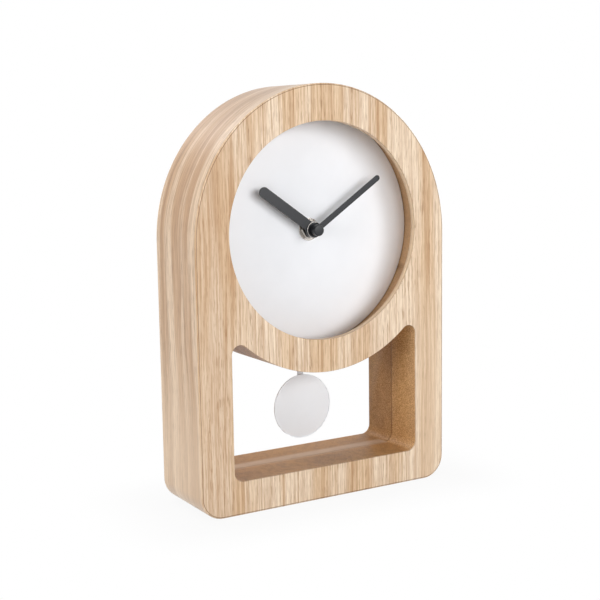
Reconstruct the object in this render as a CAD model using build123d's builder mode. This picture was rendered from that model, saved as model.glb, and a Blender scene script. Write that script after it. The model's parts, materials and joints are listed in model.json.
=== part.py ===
"""Desk pendulum clock: arched case of two veneered boards, dial, quartz movement and pendulum.

Millimetres. x runs to the viewer's right, y to the back and z up.
The origin lies under the middle of the base.
"""

import os
from math import atan2, cos, degrees, hypot, radians, sin, tan

from build123d import *

os.makedirs("parts", exist_ok=True)

# Case
case_width = 172.0
case_height = 248.0
case_depth = 52.0
front_board_depth = 26.0  # front face to the glue seam
arch_stretch = 4.5  # how far the elliptical arch is drawn out past a half circle
corner_radius = 14.0  # lower outer corners
veneer = 0.6
edge_round = 1.2  # rounded outer edges of the veneered case
rail_width = 21.5  # wood beside the dial opening and the window
sill_height = 20.0
bridge_width = 19.5  # wood between the dial opening and the window
window_low_corner = 6.0
window_high_corner = 4.0
seam_bevel = 0.4  # eased board edges along the seam in the window
lip_thickness = 4.5  # front lip that overhangs the dial pocket
lip_overhang = 7.0
movement_room = 1.0  # space round the movement in the rear board
channel_room = 1.5  # space beside the swinging rod in the rear board

# Dial and what holds the movement to it
dial_thickness = 5.5
dial_slack = 0.2
dial_edge_break = 0.4
bush_radius = 4.0
bush_slack = 0.1
bush_proud = 0.6  # bush end in front of the nut
bush_flange_radius = 5.6
bush_flange_thickness = 0.5
rubber_radius = 9.0
rubber_thickness = 1.0
washer_radius = 6.85
washer_thickness = 0.8
nut_across_flats = 11.0
nut_sides = 6
nut_thickness = 2.0
nut_bevel = 0.4

# Hands
running_slack = 0.05  # between a turning shaft and its bore
pipe_radius = 2.5
arbor_radius = 1.0
hour_stand_off = 1.2  # nut to the back of the hour hand's collet
hour_collet_radius = 4.85
hour_collet_length = 3.0
hour_blade_setback = 0.3  # collet's front rim to the blade
hour_blade_width = 6.4
hour_blade_thickness = 0.6
hour_tip_gap = 20.2  # tip of the hand to the dial opening's edge
hour_turn = 55.0  # left of twelve o'clock
minute_stand_off = 0.4  # hour collet to the minute hand's collar
minute_collar_radius = 3.0
minute_collar_length = 1.6
minute_blade_width = 3.6
minute_blade_thickness = 0.5
minute_tip_gap = 9.8
minute_turn = 56.2  # right of twelve o'clock
cap_radius = 3.4
cap_length = 3.0
cap_wall = 0.8
cap_bevel = 0.5

# Movement shells, measured from the hands' axis
movement_width = 56.0
movement_below = 52.0
movement_thickness = 15.5
movement_corner = 3.0
shell_wall = 1.2
shell_joint = 8.0  # front shell's wall height
shell_slack = 0.2
edge_break = 0.3  # broken edges of the rear shell and of the battery
bay_floor = 11.7  # lower wall of the battery bay, above the axis
bay_depth = 14.5
battery_radius = 7.25
battery_length = 50.5
battery_slack = 0.3
battery_nub_radius = 2.7
battery_nub_length = 1.0
contact_thickness = 0.4
contact_width = 8.0
contact_reach = 9.0

# Layers and wheels of the movement
wheel_thickness = 0.8
layer_gap = 0.8
pinion_spare = 0.2  # pinion longer than the wheel that it meets, at each end
plate_thickness = 1.0
pivot_radius = 0.5
pivot_length = 0.7
spindle_radius = 0.6
shoulder_gap = 0.2  # end play of a spindle's shoulders
wheel_addendum = 0.9  # tooth form, in modules
wheel_dedendum = 1.2
wheel_tip_half = 0.30
wheel_root_half = 0.85
leaf_addendum = 0.75
leaf_dedendum = 1.3
leaf_tip_half = 0.34
leaf_root_half = 0.50
leaves = 8
centre_teeth = 40
centre_module = 0.45
third_teeth = 48
third_module = 0.36
intermediate_teeth = 24
intermediate_module = 0.45
motion_teeth = 24
motion_module = 0.5
hour_teeth = 32
centre_hub_radius = 1.6
third_bearing = 205.0  # direction of each axis from the one before it, degrees from the right
intermediate_bearing = 290.0
rotor_bearing = 0.0
motion_bearing = 20.0
setting_bearing = -20.0
setting_spindle_radius = 1.2
knob_radius = 6.0
knob_length = 4.5
knob_grooves = 18
knob_groove_radius = 0.6
knob_groove_corners = 4
knob_gap = 0.6
magnet_radius = 2.4
magnet_thickness = 1.8
post_radius = 1.5
post_inset = 2.5
plate_left = 21.0
plate_right = 19.5
plate_above = 9.2
plate_below = 18.6
plate_corner = 2.5

# Motor, board and pendulum drive
stator_left = 5.1  # reach of the stator's plate from the rotor
stator_right = 19.6
stator_above = 4.0
stator_below = 11.0
stator_bar = 4.0
stator_core = 3.0
stator_head = 8.0
stator_thickness = 0.8
stator_slack = 0.4
coil_length = 13.0
coil_radius = 3.0
bobbin_flange = 1.0
bobbin_flange_spare = 0.4
board_left = 18.5
board_width = 7.5
board_below = 8.5
board_height = 16.5
board_thickness = 0.8
crystal_radius = 1.0
crystal_length = 6.0
drive_coil_radius = 6.0
drive_coil_hole = 2.5
drive_coil_thickness = 3.0
boss_radius = 2.4

# Pendulum
swing = 8.0  # degrees to each side
pivot_drop = 32.0  # hands' axis to the pendulum's pivot
pivot_pin_radius = 1.0
hanger_hub_radius = 2.6
hanger_hub_length = 4.4
hanger_thickness = 2.0
hanger_width = 5.0
hanger_ring_wall = 1.3
hanger_end_play = 0.4
pendulum_magnet_drop = 11.5  # pivot to the magnet
pendulum_magnet_radius = 3.5
pendulum_magnet_thickness = 3.0
pendulum_magnet_gap = 0.9  # drive coil to the magnet
hook_drop = 3.0  # movement's underside to the hook pin
hook_radius = 0.7
hook_slack = 0.05
hook_proud = 0.5
hook_head_radius = 1.4
hook_head_length = 0.5
rod_setback = 6.4  # seam to the front of the rod
rod_width = 4.0
rod_thickness = 0.8
rod_above_hook = 1.8
rod_end_inset = 12.0  # bob's lower edge to the rod's end
slot_room = 0.8  # space round the hanger in the movement's underside
bob_clearance = 11.0  # sill to the bob
bob_head_room = 7.0  # bob to the bridge above it
bob_rim = 1.4
bob_dome = 1.4
dome_bands = 4  # flat bands that stand for the dome's curve

# Places that follow from the sizes
half_width = case_width / 2
axis_z = case_height - half_width
spring_z = axis_z - arch_stretch  # where the straight sides meet the arch
front_y = -case_depth / 2
rear_y = case_depth / 2
seam_y = front_y + front_board_depth
opening_radius = half_width - rail_width
pocket_radius = opening_radius + lip_overhang
window_half = half_width - rail_width
window_arc = opening_radius + bridge_width
soffit_z = axis_z - window_arc
movement_half = movement_width / 2
rear_hole_radius = hypot(movement_half, movement_below) + movement_room

dial_front = seam_y - dial_thickness
washer_front = dial_front - washer_thickness
nut_front = washer_front - nut_thickness
bush_front = nut_front - bush_proud
hour_rear = nut_front - hour_stand_off
hour_front = hour_rear - hour_collet_length
minute_rear = hour_front - minute_stand_off
minute_front = minute_rear - minute_collar_length - minute_blade_thickness
cap_front = minute_front - cap_length
hour_length = opening_radius - hour_tip_gap
minute_length = opening_radius - minute_tip_gap

movement_front = seam_y + rubber_thickness
floor_y = movement_front + shell_wall
movement_rear = movement_front + movement_thickness
cover_y = movement_rear - shell_wall
joint_y = movement_front + shell_joint
bay_rear = movement_front + bay_depth
bay_top = bay_floor + 2 * (battery_radius + battery_slack)
movement_above = bay_top + shell_wall
battery_up = bay_floor + battery_slack + battery_radius
battery_y = floor_y + battery_slack + battery_radius
hour_y = floor_y + bush_flange_thickness + running_slack + pinion_spare
motion_y = hour_y + wheel_thickness + layer_gap
plate_y = motion_y + wheel_thickness + layer_gap
train_y = plate_y + plate_thickness
centre_y = train_y + layer_gap
third_y = centre_y + wheel_thickness + layer_gap
intermediate_y = third_y + wheel_thickness + layer_gap
magnet_y = train_y + layer_gap - pinion_spare
stator_y = magnet_y + (magnet_thickness - stator_thickness) / 2


def step(start, reach, bearing):
    """Place that lies a reach away from a start, across the front of the clock."""
    x, z = start
    return (x + reach * cos(radians(bearing)), z + reach * sin(radians(bearing)))


def spacing(teeth, module):
    """Distance between the axes of a wheel and the pinion that it meshes with."""
    return module * (teeth + leaves) / 2


hour_module = 2 * spacing(motion_teeth, motion_module) / (hour_teeth + leaves)
hands_axis = (0.0, axis_z)
third_axis = step(hands_axis, spacing(centre_teeth, centre_module), third_bearing)
intermediate_axis = step(third_axis, spacing(third_teeth, third_module), intermediate_bearing)
rotor_axis = step(intermediate_axis, spacing(intermediate_teeth, intermediate_module), rotor_bearing)
motion_axis = step(hands_axis, spacing(motion_teeth, motion_module), motion_bearing)
setting_axis = step(motion_axis, spacing(motion_teeth, motion_module), setting_bearing)

pivot_z = axis_z - pivot_drop
pendulum_axis = (0.0, pivot_z)
magnet_axis = (0.0, pivot_z - pendulum_magnet_drop)
under_z = axis_z - movement_below
hook_z = under_z - hook_drop
hook_axis = (0.0, hook_z)
bob_low = sill_height + bob_clearance
bob_radius = (soffit_z - bob_head_room - bob_low) / 2
bob_z = bob_low + bob_radius
rod_front = seam_y + rod_setback
rod_rear = rod_front + rod_thickness
hanger_front = rod_rear
hanger_rear = hanger_front + hanger_thickness
hub_front = (hanger_front + hanger_rear - hanger_hub_length) / 2
hub_rear = hub_front + hanger_hub_length
coil_rear = floor_y + drive_coil_thickness
pendulum_magnet_front = coil_rear + pendulum_magnet_gap
slot_half = (pivot_z - under_z) * tan(radians(swing)) + hanger_width / 2 + slot_room
channel_half = (pivot_z - soffit_z) * tan(radians(swing)) + rod_width / 2 + channel_room


def facing(y, place=(0.0, 0.0), turn=0.0):
    """Plane across the clock at a depth, centred on a place and turned clockwise, in degrees.

    A profile on it is extruded to the front.
    """
    across = (cos(radians(turn)), 0, -sin(radians(turn)))
    return Plane(origin=(place[0], y, place[1]), x_dir=across, z_dir=(0, -1, 0))


def round_bar(place, radius, front, rear, mode=Mode.ADD):
    """Cylinder along y in the part being built."""
    with BuildSketch(facing(rear, place)) as section:
        Circle(radius)
    extrude(section.sketch, amount=rear - front, mode=mode)


def block(left, right, low, high, front, rear, corner=0.0, mode=Mode.ADD):
    """Box along y in the part being built, with rounded upright corners where a radius is given."""
    with BuildSketch(facing(rear, ((left + right) / 2, (low + high) / 2))) as section:
        if corner:
            RectangleRounded(right - left, high - low, corner)
        else:
            Rectangle(right - left, high - low)
    extrude(section.sketch, amount=rear - front, mode=mode)


def toothed(place, teeth, module, turn, addendum, dedendum, tip_half, root_half, front, rear):
    """Straight-sided teeth round a place; one tooth points at the turn, in degrees."""
    pitch = module * teeth / 2
    tip = pitch + addendum * module
    root = pitch - dedendum * module
    corners = []
    for index in range(teeth):
        aim = radians(turn + index * 360 / teeth)
        for radius, half in ((root, -root_half), (tip, -tip_half), (tip, tip_half), (root, root_half)):
            angle = aim + half * module / radius
            corners.append((radius * cos(angle), radius * sin(angle)))
    with BuildSketch(facing(rear, place)) as section:
        with BuildLine():
            Polyline(*corners, close=True)
        make_face()
    extrude(section.sketch, amount=rear - front)


def bearing_of(place, mate):
    """Direction from one axis to another, in degrees."""
    return degrees(atan2(mate[1] - place[1], mate[0] - place[0]))


def wheel(place, mate, teeth, module, front):
    """Toothed wheel with one tooth pointing at its mate."""
    form = (wheel_addendum, wheel_dedendum, wheel_tip_half, wheel_root_half)
    toothed(place, teeth, module, bearing_of(place, mate), *form, front, front + wheel_thickness)


def pinion(place, mate, module, front, mate_lead=0.0):
    """Leaves of a pinion, with a gap for its mate's tooth; the lead is in the mate's teeth past the line."""
    turn = bearing_of(place, mate) + (180 - 360 * mate_lead) / leaves
    form = (leaf_addendum, leaf_dedendum, leaf_tip_half, leaf_root_half)
    rear = front + wheel_thickness + pinion_spare
    toothed(place, leaves, module, turn, *form, front - pinion_spare, rear)


def spindle(place, front, rear):
    """Spindle between two bearing faces, with a pivot at each end."""
    round_bar(place, spindle_radius, front + shoulder_gap, rear - shoulder_gap)
    round_bar(place, pivot_radius, front - pivot_length, rear + pivot_length)


def bearing_hole(place, front, rear):
    """Bore for a pivot."""
    round_bar(place, pivot_radius + running_slack, front, rear, Mode.SUBTRACT)


def case_outline(inset):
    """Arched outline of the case, drawn in by an inset."""
    half = half_width - inset
    rise = case_height - spring_z - inset
    corner = corner_radius - inset
    with BuildSketch() as outline:
        with BuildLine():
            Line((-half + corner, inset), (half - corner, inset))
            RadiusArc((half - corner, inset), (half, inset + corner), -corner)
            Line((half, inset + corner), (half, spring_z))
            EllipticalCenterArc((0, spring_z), half, rise, arc_size=180)
            Line((-half, spring_z), (-half, inset + corner))
            RadiusArc((-half, inset + corner), (-half + corner, inset), -corner)
        make_face()
    return outline.sketch


def window_outline():
    """Pendulum window: straight sides and sill under the arched bridge."""
    with BuildSketch() as outline:
        with Locations((0, (sill_height + axis_z) / 2)):
            Rectangle(2 * window_half, axis_z - sill_height)
        with Locations(hands_axis):
            Circle(window_arc, mode=Mode.SUBTRACT)
        fillet(outline.vertices().group_by(Axis.Y)[0], window_low_corner)
        fillet(outline.vertices().group_by(Axis.Y)[-1], window_high_corner)
    return outline.sketch


def rear_hole_outline():
    """Round hole for the movement, with the channel that the rod swings in."""
    with BuildSketch() as outline:
        with Locations(hands_axis):
            Circle(rear_hole_radius)
        with Locations((0, (soffit_z - window_high_corner + axis_z) / 2)):
            Rectangle(2 * channel_half, axis_z - soffit_z + window_high_corner)
    return outline.sketch


def keep(piece, name):
    """Label a finished piece and write it."""
    piece.part.label = name
    export_step(piece.part, f"parts/{name}.step")


# Case boards
with BuildPart() as case_front_board:
    with BuildSketch(facing(seam_y)):
        add(case_outline(veneer))
        add(window_outline(), mode=Mode.SUBTRACT)
    extrude(amount=front_board_depth - veneer)
    seam_face = case_front_board.faces().sort_by(Axis.Y)[-1]
    chamfer(seam_face.inner_wires()[0].edges(), seam_bevel)
    round_bar(hands_axis, pocket_radius, front_y + lip_thickness, seam_y, Mode.SUBTRACT)
    round_bar(hands_axis, opening_radius, front_y, front_y + lip_thickness, Mode.SUBTRACT)
keep(case_front_board, "case_front_board")

with BuildPart() as case_rear_board:
    with BuildSketch(facing(rear_y - veneer)):
        add(case_outline(veneer))
        add(window_outline(), mode=Mode.SUBTRACT)
    extrude(amount=rear_y - veneer - seam_y)
    seam_face = case_rear_board.faces().sort_by(Axis.Y)[0]
    chamfer(seam_face.inner_wires()[0].edges(), seam_bevel)
    with BuildSketch(facing(rear_y)):
        add(rear_hole_outline())
    extrude(amount=rear_y - seam_y, mode=Mode.SUBTRACT)
keep(case_rear_board, "case_rear_board")

# Veneers, cut to the case's form with its rounded outer edges
with BuildPart() as case_form:
    with BuildSketch(facing(rear_y)):
        add(case_outline(0))
    extrude(amount=case_depth)
    end_faces = case_form.faces().filter_by(Axis.Y)
    fillet(end_faces.edges(), edge_round)

with BuildPart() as front_veneer:
    with BuildSketch(facing(front_y + veneer)):
        add(case_outline(0))
        add(window_outline(), mode=Mode.SUBTRACT)
        with Locations(hands_axis):
            Circle(opening_radius, mode=Mode.SUBTRACT)
    extrude(amount=veneer)
    add(case_form.part, mode=Mode.INTERSECT)
keep(front_veneer, "front_veneer")

with BuildPart() as rear_veneer:
    with BuildSketch(facing(rear_y)):
        add(case_outline(0))
        add(window_outline(), mode=Mode.SUBTRACT)
        add(rear_hole_outline(), mode=Mode.SUBTRACT)
    extrude(amount=veneer)
    add(case_form.part, mode=Mode.INTERSECT)
keep(rear_veneer, "rear_veneer")

with BuildPart() as edge_veneer:
    with BuildSketch(facing(rear_y - veneer)):
        add(case_outline(0))
        add(case_outline(veneer), mode=Mode.SUBTRACT)
        with Locations((0, veneer / 2)):
            Rectangle(case_width - 2 * corner_radius, veneer, mode=Mode.SUBTRACT)
    extrude(amount=case_depth - 2 * veneer)
    add(case_form.part, mode=Mode.INTERSECT)
keep(edge_veneer, "edge_veneer")

with BuildPart() as base_veneer:
    base_half = half_width - corner_radius
    block(-base_half, base_half, 0, veneer, front_y + veneer, rear_y - veneer)
    add(case_form.part, mode=Mode.INTERSECT)
keep(base_veneer, "base_veneer")

# Dial and its fixings
with BuildPart() as dial:
    round_bar(hands_axis, pocket_radius - dial_slack, dial_front, seam_y)
    chamfer(dial.edges().sort_by(Axis.Y)[0], dial_edge_break)
    round_bar(hands_axis, bush_radius + bush_slack, dial_front, seam_y, Mode.SUBTRACT)
keep(dial, "dial")

with BuildPart() as rubber_washer:
    round_bar(hands_axis, rubber_radius, seam_y, movement_front)
    round_bar(hands_axis, bush_radius + bush_slack, seam_y, movement_front, Mode.SUBTRACT)
keep(rubber_washer, "rubber_washer")

with BuildPart() as fixing_washer:
    round_bar(hands_axis, washer_radius, washer_front, dial_front)
    round_bar(hands_axis, bush_radius + bush_slack, washer_front, dial_front, Mode.SUBTRACT)
keep(fixing_washer, "fixing_washer")

with BuildPart() as fixing_nut:
    with BuildSketch(facing(washer_front, hands_axis)):
        RegularPolygon(nut_across_flats / 2, nut_sides, major_radius=False)
    extrude(amount=nut_thickness)
    chamfer(fixing_nut.faces().sort_by(Axis.Y)[0].edges(), nut_bevel)
    round_bar(hands_axis, bush_radius, nut_front, washer_front, Mode.SUBTRACT)
keep(fixing_nut, "fixing_nut")

with BuildPart() as threaded_bush:
    round_bar(hands_axis, bush_radius, bush_front, floor_y)
    round_bar(hands_axis, bush_flange_radius, floor_y, floor_y + bush_flange_thickness)
    bush_bore = pipe_radius + running_slack
    round_bar(hands_axis, bush_bore, bush_front, floor_y + bush_flange_thickness, Mode.SUBTRACT)
keep(threaded_bush, "threaded_bush")

# Movement shells and plate
post_places = [
    (-plate_left + post_inset, axis_z + plate_above - post_inset),
    (-plate_left + post_inset, axis_z - plate_below + post_inset),
    (plate_right - post_inset, axis_z + plate_above - post_inset),
    (plate_right - post_inset, axis_z - plate_below + post_inset),
]
stator_low = rotor_axis[1] - stator_below
stator_right_x = rotor_axis[0] + stator_right
stator_left_x = rotor_axis[0] - stator_left
stator_posts = [
    (stator_right_x - stator_bar / 2, stator_low + stator_core / 2),
    (stator_left_x + stator_bar / 2, stator_low + stator_core / 2),
]
board_low = axis_z - board_below
board_middle = board_left + board_width / 2
board_posts = [
    (board_middle, board_low + post_inset),
    (board_middle, board_low + board_height - post_inset),
]

with BuildPart() as movement_front_shell:
    bay_low = axis_z + bay_floor - shell_wall
    top_z = axis_z + movement_above
    inner_half = movement_half - shell_wall
    block(-movement_half, movement_half, under_z, top_z, movement_front, joint_y, movement_corner)
    block(-inner_half, inner_half, under_z + shell_wall, bay_low, floor_y, joint_y, mode=Mode.SUBTRACT)
    block(-movement_half, movement_half, bay_low, top_z, floor_y, bay_rear)
    bay_heights = (bay_low + shell_wall, top_z - shell_wall)
    block(-inner_half, inner_half, *bay_heights, floor_y, bay_rear, mode=Mode.SUBTRACT)
    for post in post_places:
        round_bar(post, post_radius, floor_y, plate_y)
    for post in stator_posts:
        round_bar(post, post_radius, floor_y, stator_y)
    for post in board_posts:
        round_bar(post, post_radius, floor_y, stator_y)
    round_bar(pendulum_axis, boss_radius, floor_y, hub_front - hanger_end_play)
    round_bar(pendulum_axis, pivot_pin_radius, floor_y, hub_front, Mode.SUBTRACT)
    round_bar(hands_axis, bush_radius, movement_front, floor_y, Mode.SUBTRACT)
    bearing_hole(motion_axis, floor_y - pivot_length - shoulder_gap, floor_y)
    bearing_hole(setting_axis, floor_y - pivot_length - shoulder_gap, floor_y)
    slot_front = hanger_front - slot_room
    block(-slot_half, slot_half, under_z, under_z + shell_wall, slot_front, joint_y, mode=Mode.SUBTRACT)
keep(movement_front_shell, "movement_front_shell")

with BuildPart() as movement_rear_shell:
    lid_top = axis_z + bay_floor - shell_wall - shell_slack
    block(-movement_half, movement_half, under_z, lid_top, joint_y, movement_rear, movement_corner)
    lid_ceiling = lid_top - shell_wall
    block(-inner_half, inner_half, under_z + shell_wall, lid_ceiling, joint_y, cover_y, mode=Mode.SUBTRACT)
    chamfer(movement_rear_shell.faces().sort_by(Axis.Y)[-1].edges(), edge_break)
    round_bar(pendulum_axis, boss_radius, hub_rear + hanger_end_play, cover_y)
    round_bar(pendulum_axis, pivot_pin_radius, hub_rear, cover_y, Mode.SUBTRACT)
    for place in (hands_axis, third_axis, intermediate_axis, rotor_axis):
        bearing_hole(place, cover_y, cover_y + pivot_length + shoulder_gap)
    knob_bore = setting_spindle_radius + running_slack
    round_bar(setting_axis, knob_bore, cover_y, movement_rear, Mode.SUBTRACT)
    slot_rear = hanger_rear + slot_room
    block(-slot_half, slot_half, under_z, under_z + shell_wall, joint_y, slot_rear, mode=Mode.SUBTRACT)
keep(movement_rear_shell, "movement_rear_shell")

with BuildPart() as gear_plate:
    plate_low = axis_z - plate_below
    plate_high = axis_z + plate_above
    block(-plate_left, plate_right, plate_low, plate_high, plate_y, train_y, plate_corner)
    round_bar(hands_axis, arbor_radius + running_slack, plate_y, train_y, Mode.SUBTRACT)
    round_bar(setting_axis, knob_bore, plate_y, train_y, Mode.SUBTRACT)
    for place in (third_axis, intermediate_axis, rotor_axis, motion_axis):
        bearing_hole(place, plate_y, train_y)
keep(gear_plate, "gear_plate")

# Wheels of the motion work and of the train
with BuildPart() as minute_arbor:
    round_bar(hands_axis, arbor_radius, cap_front + cap_wall, cover_y - shoulder_gap)
    round_bar(hands_axis, pivot_radius, cover_y - shoulder_gap, cover_y + pivot_length)
    pinion(hands_axis, motion_axis, motion_module, motion_y)
keep(minute_arbor, "minute_arbor")

with BuildPart() as hour_wheel:
    wheel(hands_axis, motion_axis, hour_teeth, hour_module, hour_y)
    round_bar(hands_axis, pipe_radius, hour_front, hour_y + wheel_thickness)
    pipe_bore = arbor_radius + running_slack
    round_bar(hands_axis, pipe_bore, hour_front, hour_y + wheel_thickness, Mode.SUBTRACT)
keep(hour_wheel, "hour_wheel")

with BuildPart() as motion_wheel:
    wheel(motion_axis, hands_axis, motion_teeth, motion_module, motion_y)
    pinion(motion_axis, hands_axis, hour_module, hour_y)
    spindle(motion_axis, floor_y, plate_y)
keep(motion_wheel, "motion_wheel")

with BuildPart() as setting_knob:
    off_line = bearing_of(motion_axis, hands_axis) - bearing_of(motion_axis, setting_axis)
    pinion(setting_axis, motion_axis, motion_module, motion_y, off_line * motion_teeth / 360)
    round_bar(setting_axis, pivot_radius, floor_y - pivot_length, motion_y)
    knob_front = movement_rear + knob_gap
    knob_rear = knob_front + knob_length
    round_bar(setting_axis, setting_spindle_radius, motion_y, knob_front)
    with BuildSketch(facing(knob_rear, setting_axis)):
        Circle(knob_radius)
        with PolarLocations(knob_radius, knob_grooves):
            RegularPolygon(knob_groove_radius, knob_groove_corners, mode=Mode.SUBTRACT)
    extrude(amount=knob_length)
keep(setting_knob, "setting_knob")

with BuildPart() as centre_wheel:
    wheel(hands_axis, third_axis, centre_teeth, centre_module, centre_y)
    hub_length = wheel_thickness + pinion_spare
    round_bar(hands_axis, centre_hub_radius, centre_y - pinion_spare, centre_y + hub_length)
    round_bar(hands_axis, arbor_radius, centre_y - pinion_spare, centre_y + hub_length, Mode.SUBTRACT)
keep(centre_wheel, "centre_wheel")

with BuildPart() as third_wheel:
    pinion(third_axis, hands_axis, centre_module, centre_y)
    wheel(third_axis, intermediate_axis, third_teeth, third_module, third_y)
    spindle(third_axis, train_y, cover_y)
keep(third_wheel, "third_wheel")

with BuildPart() as intermediate_wheel:
    pinion(intermediate_axis, third_axis, third_module, third_y)
    wheel(intermediate_axis, rotor_axis, intermediate_teeth, intermediate_module, intermediate_y)
    spindle(intermediate_axis, train_y, cover_y)
keep(intermediate_wheel, "intermediate_wheel")

with BuildPart() as rotor:
    pinion(rotor_axis, intermediate_axis, intermediate_module, intermediate_y)
    round_bar(rotor_axis, magnet_radius, magnet_y, magnet_y + magnet_thickness)
    spindle(rotor_axis, train_y, cover_y)
keep(rotor, "rotor")

# Motor, board and battery
with BuildPart() as stator:
    head_top = rotor_axis[1] + stator_above
    stator_rear = stator_y + stator_thickness
    block(stator_left_x, stator_right_x, stator_low, head_top, stator_y, stator_rear)
    yoke = (stator_left_x + stator_bar, stator_right_x - stator_bar)
    yoke_heights = (stator_low + stator_core, head_top - stator_head)
    block(*yoke, *yoke_heights, stator_y, stator_rear, mode=Mode.SUBTRACT)
    round_bar(rotor_axis, magnet_radius + stator_slack, stator_y, stator_rear, Mode.SUBTRACT)
keep(stator, "stator")

with BuildPart() as motor_coil:
    coil_middle = (yoke[0] + yoke[1]) / 2
    core_z = stator_low + stator_core / 2
    core_y = stator_y + stator_thickness / 2
    with BuildSketch(Plane.YZ.offset(coil_middle - coil_length / 2)):
        with Locations((core_y, core_z)):
            Circle(coil_radius)
            Rectangle(stator_thickness, stator_core, mode=Mode.SUBTRACT)
    extrude(amount=coil_length)
    for end in (-coil_length / 2, coil_length / 2 - bobbin_flange):
        with BuildSketch(Plane.YZ.offset(coil_middle + end)):
            with Locations((core_y, core_z)):
                Circle(coil_radius + bobbin_flange_spare)
                Rectangle(stator_thickness, stator_core, mode=Mode.SUBTRACT)
        extrude(amount=bobbin_flange)
keep(motor_coil, "motor_coil")

with BuildPart() as circuit_board:
    board_rear = stator_y + board_thickness
    block(board_left, board_left + board_width, board_low, board_low + board_height, stator_y, board_rear)
keep(circuit_board, "circuit_board")

with BuildPart() as quartz_crystal:
    with BuildSketch(Plane.XY.offset(board_low + (board_height - crystal_length) / 2)):
        with Locations((board_middle, board_rear + crystal_radius)):
            Circle(crystal_radius)
    extrude(amount=crystal_length)
keep(quartz_crystal, "quartz_crystal")

battery_z = axis_z + battery_up
battery_end = battery_length / 2
with BuildPart() as battery:
    with BuildSketch(Plane.YZ.offset(-battery_end)):
        with Locations((battery_y, battery_z)):
            Circle(battery_radius)
    extrude(amount=battery_length - battery_nub_length)
    chamfer(battery.edges(), edge_break)
    with BuildSketch(Plane.YZ.offset(battery_end - battery_nub_length)):
        with Locations((battery_y, battery_z)):
            Circle(battery_nub_radius)
    extrude(amount=battery_nub_length)
keep(battery, "battery")


def contact(name, side):
    """Bowed leaf between a battery's end and the bay's end wall."""
    wall_x = side * inner_half
    tip_x = side * battery_end
    near = battery_y - contact_reach / 2
    far = battery_y + contact_reach / 2
    with BuildPart() as leaf:
        with BuildSketch(Plane.XY.offset(battery_z - contact_width / 2)):
            with BuildLine():
                ThreePointArc((wall_x, near), (tip_x, battery_y), (wall_x, far))
                Line((wall_x, far), (wall_x, far - contact_thickness))
                back_x = tip_x + side * contact_thickness
                bow_start = (wall_x, near + contact_thickness)
                ThreePointArc((wall_x, far - contact_thickness), (back_x, battery_y), bow_start)
                Line(bow_start, (wall_x, near))
            make_face()
        extrude(amount=contact_width)
    keep(leaf, name)


contact("battery_contact_positive", 1)
contact("battery_contact_negative", -1)

with BuildPart() as drive_coil:
    round_bar(magnet_axis, drive_coil_radius, floor_y, coil_rear)
    round_bar(magnet_axis, drive_coil_hole, floor_y, coil_rear, Mode.SUBTRACT)
keep(drive_coil, "drive_coil")


def hand(place, reach, width, turn, front, rear):
    """Straight blade with a round tip; the turn is degrees clockwise from twelve o'clock."""
    half = width / 2
    with BuildSketch(facing(rear, place, turn)) as blade:
        with BuildLine():
            Line((-half, 0), (-half, reach - half))
            ThreePointArc((-half, reach - half), (0, reach), (half, reach - half))
            Polyline((half, reach - half), (half, 0), (-half, 0))
        make_face()
    extrude(blade.sketch, amount=rear - front)


# Hands
with BuildPart() as hour_hand:
    blade_front = hour_front + hour_blade_setback
    blade_rear = blade_front + hour_blade_thickness
    hand(hands_axis, hour_length, hour_blade_width, -hour_turn, blade_front, blade_rear)
    round_bar(hands_axis, hour_collet_radius, hour_front, hour_rear)
    round_bar(hands_axis, pipe_radius, hour_front, hour_rear, Mode.SUBTRACT)
keep(hour_hand, "hour_hand")

with BuildPart() as minute_hand:
    blade_rear = minute_front + minute_blade_thickness
    hand(hands_axis, minute_length, minute_blade_width, minute_turn, minute_front, blade_rear)
    round_bar(hands_axis, minute_collar_radius, minute_front, minute_rear)
    round_bar(hands_axis, arbor_radius, minute_front, minute_rear, Mode.SUBTRACT)
keep(minute_hand, "minute_hand")

with BuildPart() as hand_cap:
    round_bar(hands_axis, cap_radius, cap_front, minute_front)
    chamfer(hand_cap.edges().sort_by(Axis.Y)[0], cap_bevel)
    round_bar(hands_axis, arbor_radius, cap_front + cap_wall, minute_front, Mode.SUBTRACT)
keep(hand_cap, "hand_cap")

# Pendulum
with BuildPart() as pendulum_pivot_pin:
    round_bar(pendulum_axis, pivot_pin_radius, floor_y, cover_y)
keep(pendulum_pivot_pin, "pendulum_pivot_pin")

with BuildPart() as pendulum_hanger:
    arm_half = hanger_width / 2
    block(-arm_half, arm_half, hook_z, pivot_z, hanger_front, hanger_rear)
    round_bar(hook_axis, arm_half, hanger_front, hanger_rear)
    round_bar(pendulum_axis, hanger_hub_radius, hub_front, hub_rear)
    ring_radius = pendulum_magnet_radius + hanger_ring_wall
    round_bar(magnet_axis, ring_radius, pendulum_magnet_front, hanger_rear)
    magnet_rear = pendulum_magnet_front + pendulum_magnet_thickness
    round_bar(magnet_axis, pendulum_magnet_radius, pendulum_magnet_front, magnet_rear, Mode.SUBTRACT)
    pin_bore = pivot_pin_radius + running_slack
    round_bar(pendulum_axis, pin_bore, hub_front, hub_rear, Mode.SUBTRACT)
    pin_front = rod_front - hook_proud
    round_bar(hook_axis, hook_radius, pin_front, hanger_front)
    round_bar(hook_axis, hook_head_radius, pin_front - hook_head_length, pin_front)
keep(pendulum_hanger, "pendulum_hanger")

with BuildPart() as pendulum_magnet:
    round_bar(magnet_axis, pendulum_magnet_radius, pendulum_magnet_front, magnet_rear)
keep(pendulum_magnet, "pendulum_magnet")

with BuildPart() as pendulum_rod:
    rod_half = rod_width / 2
    rod_low = bob_low + rod_end_inset
    block(-rod_half, rod_half, rod_low, hook_z + rod_above_hook, rod_front, rod_rear)
    round_bar(hook_axis, hook_radius + hook_slack, rod_front, rod_rear, Mode.SUBTRACT)
keep(pendulum_rod, "pendulum_rod")

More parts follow.
